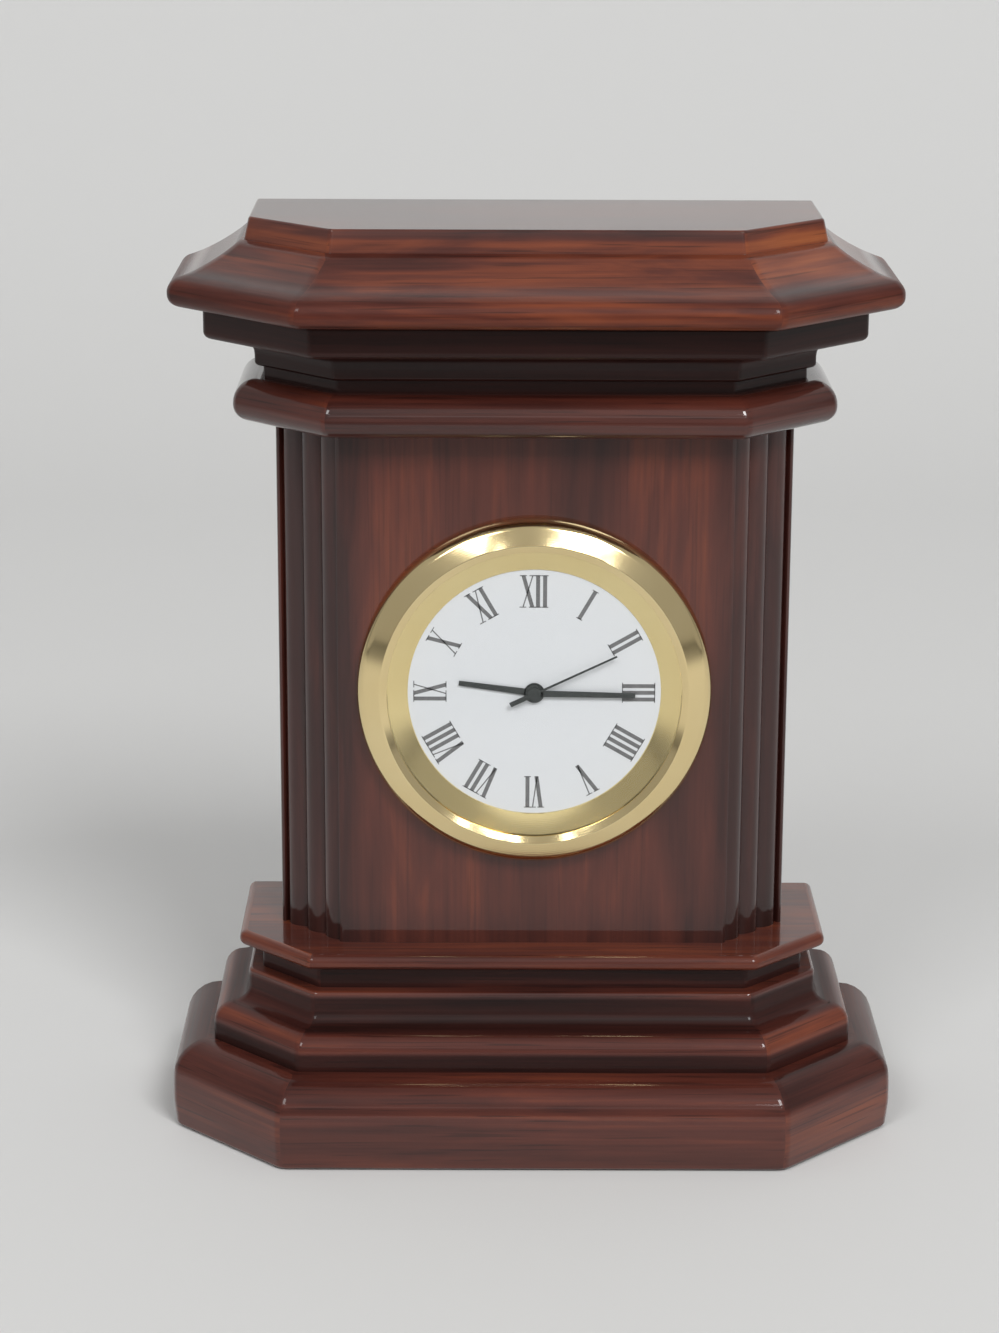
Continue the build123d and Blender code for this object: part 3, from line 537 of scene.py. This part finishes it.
def turnedRing(name, spec, material, node):
    bm = bmesh.new()
    profile = spec["profile"]
    height = shaft["dialHeight"] * mm
    chain = [bm.verts.new((r * mm, (case["front"] + d) * mm, height)) for r, d, _ in profile]
    ends = chain[1:] + chain[:1] if spec.get("ring", True) else chain[1:]
    wire = [bm.edges.new(pair) for pair in zip(chain, ends)]
    bmesh.ops.spin(
        bm, geom=chain + wire, cent=(0, 0, height), axis=(0, 1, 0), angle=math.tau, steps=turning["steps"],
        use_merge=True,
    )
    bmesh.ops.remove_doubles(bm, verts=bm.verts, dist=1e-6)
    bmesh.ops.recalc_face_normals(bm, faces=bm.faces)
    flat = [(r, d) for r, d, _ in profile]
    for number, (radius, depth, soft) in enumerate(profile):
        if not soft:
            continue

        def onCircle(vert):
            away = math.hypot(vert.co.x, vert.co.z - height) / mm
            deep = vert.co.y / mm - case["front"]
            return abs(away - radius) < turning["near"] and abs(deep - depth) < turning["near"]

        circle = [e for e in bm.edges if all(onCircle(v) for v in e.verts)]
        reach = roundReach(flat[number - 1], flat[number], flat[(number + 1) % len(flat)], soft)
        softEdges(bm, circle, reach * mm, turning["rounds"])
    return newPiece(name, bm, material, "insert", node, turning["smooth"])


def brassFinish(name, look):
    material, shader, place = newFinish(name)
    tarnish = place.noise(70.0, 3.0)
    # turning marks run round the dial's axis
    lines = (place.fromAxis() * look["lines"]).wave()
    colour = tarnish.ramp([(0.3, look["shade"]), (0.7, look["gold"])])
    dress(
        shader,
        {"Base Color": colour, "Roughness": look["roughness"] + tarnish * 0.05,
         "Normal": lines.bump(0.02, 0.00002)},
        {"Metallic": 1.0},
    )
    return material


bezelBrass = brassFinish(
    "polishedBrass",
    {"gold": (0.88, 0.72, 0.40), "shade": (0.82, 0.65, 0.34), "lines": 21000, "roughness": 0.09},
)
reflectorBrass = brassFinish(
    "paleBrass",
    {"gold": (0.87, 0.72, 0.37), "shade": (0.82, 0.66, 0.32), "lines": 26000, "roughness": 0.12},
)

bezel = {
    "profile": [
        (21.55, 0, 0), (25.0, 0, 0), (25.0, -2.3, 2.0), (21.7, -3.8, 0.3), (20.7, -3.3, 0.06),
        (20.7, -3.05, 0), (21.1, -3.05, 0), (21.1, -1.0, 0), (21.55, -1.0, 0),
    ]
}
reflector = {
    "profile": [(20.6, -2.55, 0), (21.0, -2.55, 0), (21.0, -1.4, 0), (17.8, -1.4, 0), (17.9, -1.55, 0)]
}
turnedRing("bezelRing", bezel, bezelBrass, "bezel")
turnedRing("reflectorRing", reflector, reflectorBrass, "reflector_ring")


def glassFinish():
    material, shader, place = newFinish("clearLens")
    tree = material.node_tree
    clear = place.node("ShaderNodeBsdfTransparent", {}, {"Color": (1, 1, 1, 1)})
    gloss = place.node("ShaderNodeBsdfGlossy", {}, {"Roughness": 0.02})
    slant = place.node("ShaderNodeLayerWeight", {}, {"Blend": 0.5}, "Facing")
    both = place.node("ShaderNodeMixShader", {}, {0: slant ** 4 * 0.6 + 0.01, 1: clear, 2: gloss})
    tree.links.new(both.socket, tree.nodes["Material Output"].inputs["Surface"])
    tree.nodes.remove(shader)
    return material


def dialFinish():
    material, shader, place = newFinish("dialWhite")
    grain = place.noise(900.0, 2.0)
    cloud = place.noise(40.0, 2.0)
    colour = cloud.ramp([(0.3, (0.655, 0.68, 0.70)), (0.7, (0.68, 0.70, 0.72))])
    links = {"Base Color": colour, "Roughness": 0.42 + grain * 0.1, "Normal": grain.bump(0.05, 0.00001)}
    dress(shader, links)
    return material


lens = {"profile": [(0, -3.05, 0), (20.95, -3.05, 0), (20.95, -2.55, 0), (0, -2.55, 0)], "ring": False}
dialDisc = {"profile": [(1.4, -1.4, 0), (21.0, -1.4, 0), (21.0, -1.0, 0), (1.4, -1.0, 0)]}
turnedRing("lensDisc", lens, glassFinish(), "lens")
turnedRing("dialDisc", dialDisc, dialFinish(), "dial")


# dial numerals: bars and thin lines, standing on a circle with their tops outward

numerals = {
    "outer": 17.0, "tall": 4.65, "thick": 0.56, "thin": 0.17, "serif": 0.12, "serifWide": 0.96,
    "face": -1.4, "lie": 0.02, "I": 0.98, "V": 1.75, "X": 1.85, "inset": 0.42, "shiftV": 0.1, "shiftX": 0.05,
    "hours": ("XII", "I", "II", "III", "IIII", "V", "VI", "VII", "VIII", "IX", "X", "XI"),
}


def inkFinish():
    material, shader, place = newFinish("dialInk")
    patch = place.noise(1500.0, 2.0)
    colour = patch.ramp([(0.3, (0.125, 0.127, 0.130)), (0.7, (0.165, 0.167, 0.170))])
    dress(shader, {"Base Color": colour, "Roughness": 0.45 + patch * 0.15})
    return material


# a bar between two places on the numeral, given its width across
def inkBar(bm, hour, low, high, width):
    mid = (Vector(low) + Vector(high)) / 2
    rise = high[1] - low[1]
    lean = Matrix.Identity(4)
    if rise:
        lean[0][2] = (high[0] - low[0]) / rise
    height = shaft["dialHeight"] * mm
    turn = Matrix.Rotation(math.radians(30 * hour), 4, "Y")
    depth = case["front"] + numerals["face"] - numerals["lie"] / 2
    place = Matrix.Translation((mid.x * mm, depth * mm, mid.y * mm))
    size = Matrix.Diagonal((width * mm, numerals["lie"] * mm, max(rise, numerals["serif"]) * mm, 1))
    bmesh.ops.create_cube(bm, size=1, matrix=Matrix.Translation((0, 0, height)) @ turn @ place @ lean @ size)


def buildNumerals():
    bm = bmesh.new()
    top, bottom = numerals["outer"], numerals["outer"] - numerals["tall"]
    thick, thin = numerals["thick"], numerals["thin"]
    for hour, word in enumerate(numerals["hours"]):
        pen = -sum(numerals[letter] for letter in word) / 2
        for letter in word:
            wide = numerals[letter]
            middle, inset = pen + wide / 2, numerals["inset"] * thick
            left, right = pen + inset, pen + wide - inset
            if letter == "I":
                inkBar(bm, hour, (middle, bottom), (middle, top), thick)
                ends = [(middle, bottom), (middle, top)]
            elif letter == "V":
                shift = numerals["shiftV"]
                inkBar(bm, hour, (middle + shift, bottom), (left + shift, top), thick)
                inkBar(bm, hour, (middle, bottom), (right, top), thin)
                ends = [(left + shift, top), (right, top)]
            else:
                shift = numerals["shiftX"]
                inkBar(bm, hour, (right - shift, bottom), (left + shift, top), thick)
                inkBar(bm, hour, (left, bottom), (right, top), thin)
                ends = [(left + shift, top), (right, top), (left, bottom), (right - shift, bottom)]
            for x, z in ends:
                edge = z - numerals["serif"] / 2 if z == top else z + numerals["serif"] / 2
                inkBar(bm, hour, (x, edge), (x, edge), numerals["serifWide"])
            pen += wide
    return bm


newPiece("dialNumerals", buildNumerals(), inkFinish(), "insert", None, turning["smooth"])
print("insert front built")


# hands

hands = {
    "hour": {"length": 10.7, "wide": 0.95, "tip": 0.70, "hub": 1.45, "bore": 1.17, "front": -1.72,
             "angle": 277.59},
    "minute": {"length": 14.2, "wide": 0.95, "tip": 0.70, "hub": 1.25, "bore": 0.70, "front": -2.04,
               "angle": 91.075},
    "seconds": {"length": 12.8, "wide": 0.32, "tip": 0.28, "hub": 0.95, "bore": 0, "front": -2.36,
                "angle": 64.5, "tail": 3.7, "tailWide": 0.6},
}
handMake = {"thick": 0.15, "soft": 0.035, "start": 0.1, "steps": 48}
# front of the cap on the seconds hand: share of the hub's radius, depth
handCap = [(0, -0.125), (0.6, -0.115), (1, -0.055)]


def handFinish():
    material, shader, place = newFinish("handGrey")
    brush = place.stretched((1, 1, 6)).noise(700.0, 2.0)
    colour = brush.ramp([(0.3, (0.040, 0.046, 0.045)), (0.7, (0.060, 0.067, 0.065))])
    dress(shader, {"Base Color": colour, "Roughness": 0.34 + brush * 0.12}, {"Metallic": 0.4})
    return material


def buildHand(name, spec, material):
    bm = bmesh.new()
    bore, hub, half = spec["bore"], spec["hub"], handMake["thick"] / 2
    blades = [(spec["wide"], spec["tip"], spec["length"], 1)]
    if spec.get("tail"):
        blades.append((spec["tailWide"], spec["tailWide"], spec["tail"], -1))
    for wide, tip, length, way in blades:
        made = bmesh.ops.create_cube(bm, size=1)["verts"]
        for vert in made:
            outer = vert.co.z > 0
            vert.co.x *= tip if outer else wide
            vert.co.y *= handMake["thick"]
            vert.co.z = way * (length if outer else max(bore, handMake["start"]))
        edges = {e for v in made for e in v.link_edges}
        softEdges(bm, list(edges), handMake["soft"], 2)
    if bore:
        outline = [(bore, -half), (hub, -half), (hub, half), (bore, half)]
    else:
        outline = [(hub * share, depth) for share, depth in handCap] + [(hub, half), (0, half)]
    chain = [bm.verts.new((r, d, 0)) for r, d in outline]
    ends = chain[1:] + (chain[:1] if bore else [])
    wire = [bm.edges.new(pair) for pair in zip(chain, ends)]
    bmesh.ops.spin(
        bm, geom=chain + wire, cent=(0, 0, 0), axis=(0, 1, 0), angle=math.tau, steps=handMake["steps"],
        use_merge=True,
    )
    bmesh.ops.remove_doubles(bm, verts=bm.verts, dist=1e-5)
    bmesh.ops.recalc_face_normals(bm, faces=bm.faces)
    turn = Matrix.Rotation(math.radians(spec["angle"]), 4, "Y")
    middle = (0, (case["front"] + spec["front"] + half) * mm, shaft["dialHeight"] * mm)
    bmesh.ops.transform(bm, matrix=Matrix.Translation(middle) @ Matrix.Scale(mm, 4) @ turn, verts=bm.verts)
    newPiece(name + "Hand", bm, material, name + "_hand", name + "_hand", turning["smooth"])


handGrey = handFinish()
for handName, handSpec in hands.items():
    buildHand(handName, handSpec, handGrey)
print("hands built")


# finishes for the solids that stay as they are

solidLooks = {
    "plain_wood": {"dark": (0.42, 0.27, 0.15), "light": (0.60, 0.43, 0.26), "scale": 900, "rough": 0.55,
                   "stretch": (1, 1, 0.06), "bump": 0.25},
    "steel": {"dark": (0.42, 0.43, 0.44), "light": (0.62, 0.62, 0.62), "scale": 1200, "rough": 0.28,
              "metal": 1},
    "can_metal": {"dark": (0.50, 0.48, 0.43), "light": (0.66, 0.64, 0.58), "scale": 500, "rough": 0.27,
                  "stretch": (1, 14, 1), "metal": 1, "turned": 30000, "bump": 0.12},
    "rubber": {"dark": (0.018, 0.018, 0.018), "light": (0.038, 0.038, 0.037), "scale": 2600, "rough": 0.72,
               "bump": 0.5},
    "black_plastic": {"dark": (0.020, 0.020, 0.021), "light": (0.034, 0.034, 0.035), "scale": 3200,
                      "rough": 0.46, "bump": 0.45},
    "movement_plastic": {"dark": (0.66, 0.65, 0.60), "light": (0.76, 0.75, 0.71), "scale": 420, "rough": 0.38,
                         "bump": 0.1},
    "wheel_plastic": {"dark": (0.76, 0.72, 0.62), "light": (0.86, 0.83, 0.75), "scale": 380, "rough": 0.30,
                      "bump": 0.08},
    "pinion_brass": {"dark": (0.64, 0.46, 0.19), "light": (0.78, 0.61, 0.30), "scale": 900, "rough": 0.22,
                     "metal": 1},
    "magnet": {"dark": (0.07, 0.07, 0.075), "light": (0.16, 0.16, 0.17), "scale": 2800, "rough": 0.5,
               "metal": 0.6, "bump": 0.4},
    "core_steel": {"dark": (0.40, 0.40, 0.42), "light": (0.56, 0.56, 0.58), "scale": 700, "rough": 0.32,
                   "stretch": (0.08, 1, 1), "metal": 1},
    "copper": {"dark": (0.52, 0.20, 0.07), "light": (0.78, 0.38, 0.17), "scale": 600, "rough": 0.26,
               "metal": 0.9, "wound": 42000, "bump": 0.8},
    "nickel": {"dark": (0.66, 0.64, 0.60), "light": (0.80, 0.78, 0.74), "scale": 650, "rough": 0.15,
               "metal": 1},
    "circuit_board": {"dark": (0.020, 0.13, 0.045), "light": (0.045, 0.24, 0.095), "scale": 1100,
                      "rough": 0.34, "bump": 0.2},
    "crystal_can": {"dark": (0.64, 0.64, 0.65), "light": (0.78, 0.78, 0.79), "scale": 900, "rough": 0.24,
                    "stretch": (0.1, 1, 1), "metal": 1},
}


def solidFinish(slot, look):
    material, shader, place = newFinish("solid_" + slot)
    grain = place.stretched(look.get("stretch", (1, 1, 1))).noise(look["scale"], 3.0)
    cloud = place.noise(look["scale"] * 0.12, 2.0)
    colour = (grain * 0.65 + cloud * 0.35).ramp([(0.32, look["dark"]), (0.68, look["light"])])
    relief = grain
    if look.get("turned"):
        # rings round the dial's axis
        relief = grain * 0.3 + (place.fromAxis() * look["turned"]).wave() * 0.5
    if look.get("wound"):
        relief = (place.axis("X") * look["wound"]).wave()
    dress(
        shader,
        {"Base Color": colour, "Roughness": look["rough"] + cloud * 0.12,
         "Normal": relief.bump(look.get("bump", 0.05), 0.00003)},
        {"Metallic": look.get("metal", 0)},
    )
    return material


finishes = {slot: solidFinish(slot, look) for slot, look in solidLooks.items()}
for part in frame["record"]["subparts"]:
    if part["material_slot"] in finishes:
        for place in frame["nodes"][part["node"]].material_slots:
            place.material = finishes[part["material_slot"]]
print("solids finished")


# stage and light

# metres; the floor is pale round the object and darker far in front, painted shade standing in for the dim
# room beyond the table's front edge
stage = {
    "floor": (0.66, 0.66, 0.655), "front": (0.19, 0.19, 0.188), "fade": (-0.60, -0.28),
    "half": 9.0, "edge": 9.0, "back": 0.75, "rise": 1.6, "bend": 0.35, "bendSteps": 12,
}
lampRange = {"aim": (0, 0, 0.07), "away": 2.2}
# name, azimuth, elevation, size, watts
lamps = [
    ("windowRight", 8, 32, (0.05, 0.18), 0.6),
    ("windowFar", 26, 25, (0.05, 0.18), 0.6),
    ("windowLeft", -12, 31, (0.05, 0.18), 0.5),
    ("mainRight", 24, 41, (0.7, 0.7), 28.0),
    ("mainLeft", -29, 41, (0.7, 0.7), 12.0),
    ("strip", 0, 22, (1.3, 0.2), 0.5),
]
backdrop = {"place": (0, 0.1, 1.3), "aim": (0, stage["back"], 0.35), "size": (1.4, 0.3), "watts": 0.05}
# strengths of the sky, and the heights of a direction between which it changes
sky = {"low": 0.12, "above": 0.25, "high": 0.05, "horizon": (-0.06, 0.02), "zenith": (0.25, 0.95)}


def addStage():
    material, shader, place = newFinish("paleFloor")
    # painted shade: the floor's colour darkens far in front
    near = place.axis("Y").step(*stage["fade"])
    tone = near * 0.95 + place.noise(3.0, 2.0) * 0.05
    dress(shader, {"Base Color": tone.ramp([(0.03, stage["front"]), (0.97, stage["floor"])])},
          {"Roughness": 0.7, "Specular IOR Level": 0.2})
    bm = bmesh.new()
    half, back, edge = stage["half"], stage["back"], stage["edge"]
    corners = ((-half, -edge, 0), (half, -edge, 0), (half, back, 0), (-half, back, 0))
    ground = bm.faces.new([bm.verts.new(corner) for corner in corners])
    rear = [e for e in ground.edges if all(abs(v.co.y - back) < 0.001 for v in e.verts)]
    wall = bmesh.ops.extrude_edge_only(bm, edges=rear)["geom"]
    tops = [v for v in wall if isinstance(v, bmesh.types.BMVert)]
    bmesh.ops.translate(bm, vec=(0, 0, stage["rise"]), verts=tops)
    softEdges(bm, rear, stage["bend"], stage["bendSteps"])
    mesh = bpy.data.meshes.new("floorSweep")
    bm.to_mesh(mesh)
    bm.free()
    for polygon in mesh.polygons:
        polygon.use_smooth = True
    mesh.materials.append(material)
    sweep = bpy.data.objects.new("floorSweep", mesh)
    bpy.context.collection.objects.link(sweep)


# a direction in front of the object, from its azimuth and elevation in degrees
def facing(azimuth, elevation):
    turn, rise = math.radians(azimuth), math.radians(elevation)
    return Vector((math.sin(turn) * math.cos(rise), -math.cos(turn) * math.cos(rise), math.sin(rise)))


def addLamp(name, place, aim, size, watts):
    lamp = bpy.data.lights.new(name, "AREA")
    lamp.shape = "RECTANGLE"
    lamp.size, lamp.size_y = size
    lamp.energy = watts
    piece = bpy.data.objects.new(name, lamp)
    piece.location = place
    piece.rotation_euler = (Vector(aim) - Vector(place)).to_track_quat("-Z", "Y").to_euler()
    bpy.context.collection.objects.link(piece)


def addLight():
    world = bpy.data.worlds.new("studio")
    bpy.context.scene.world = world
    world.use_nodes = True
    tree = world.node_tree
    glow = tree.nodes["Background"]
    way = Shade(tree, tree.nodes.new("ShaderNodeTexCoord").outputs["Generated"])
    rise = way.axis("Z")
    above = rise.step(*sky["horizon"])
    high = rise.step(*sky["zenith"])
    level = sky["low"] + above * (sky["above"] + high * sky["high"])
    tree.links.new(level.socket, glow.inputs["Strength"])
    glow.inputs["Color"].default_value = (1.0, 0.995, 0.985, 1)
    aim = Vector(lampRange["aim"])
    for name, azimuth, elevation, size, watts in lamps:
        addLamp(name, aim + facing(azimuth, elevation) * lampRange["away"], aim, size, watts)
    addLamp("backdrop", **backdrop)


addStage()
addLight()
bpy.context.scene.view_settings.view_transform = "Standard"
print("stage lit")
